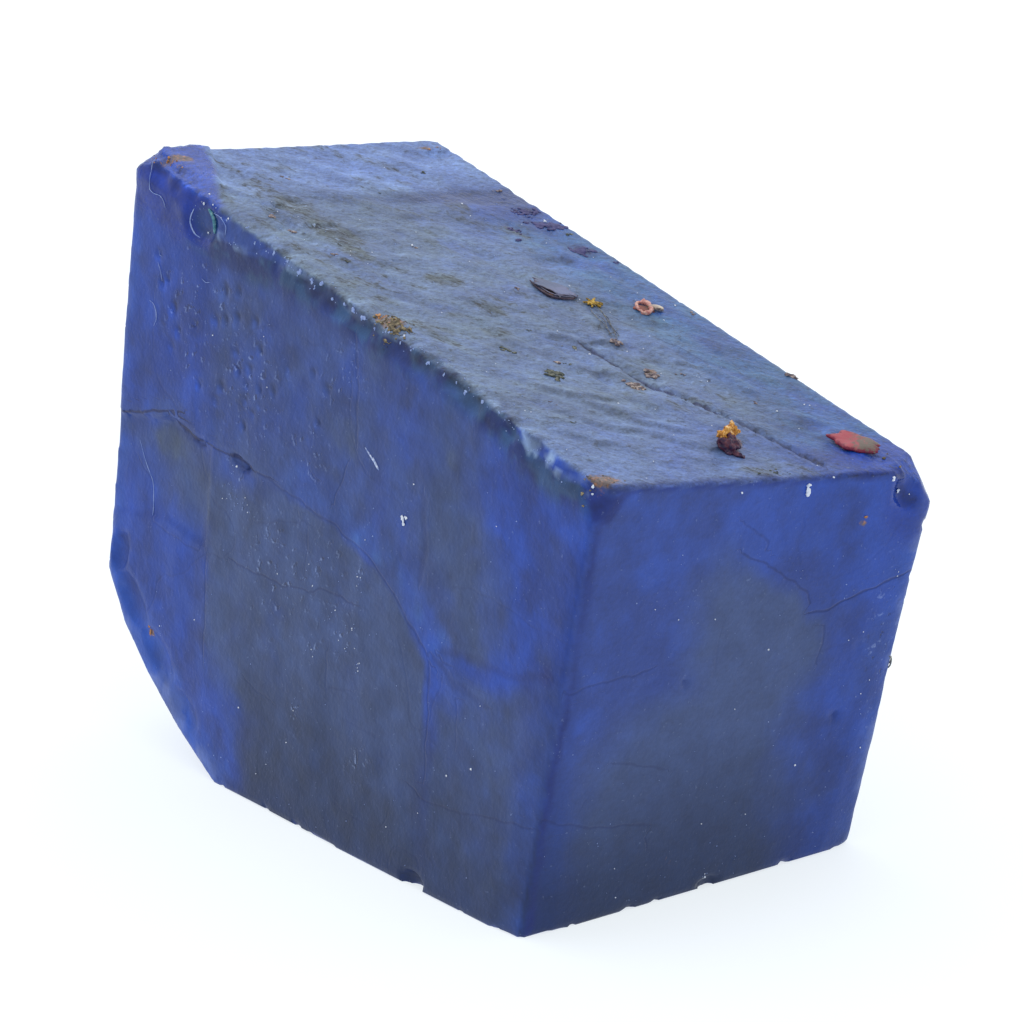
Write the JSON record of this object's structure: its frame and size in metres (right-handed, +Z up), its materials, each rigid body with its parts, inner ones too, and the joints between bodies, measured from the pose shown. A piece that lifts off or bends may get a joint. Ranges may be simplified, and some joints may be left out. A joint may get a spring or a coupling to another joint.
{
  "type": "rough tanzanite",
  "caption": "Rough blue tanzanite block with sawn sides, a sloping top, a slanted cut under its far end and a flat foot, for display or as a mineral specimen.",
  "frame": {"origin": "middle of the stone's box, on the surface that it lies on", "axes": "+Y along the stone from its low near end to its high far end, +X from its left side to its right side, +Z up"},
  "size_m": [0.0266, 0.0468, 0.0352],
  "materials": {
    "tanzanite": "satin"
  },
  "bodies": {
    "root": {"rough_tanzanite": "tanzanite"}
  },
  "joints": []
}
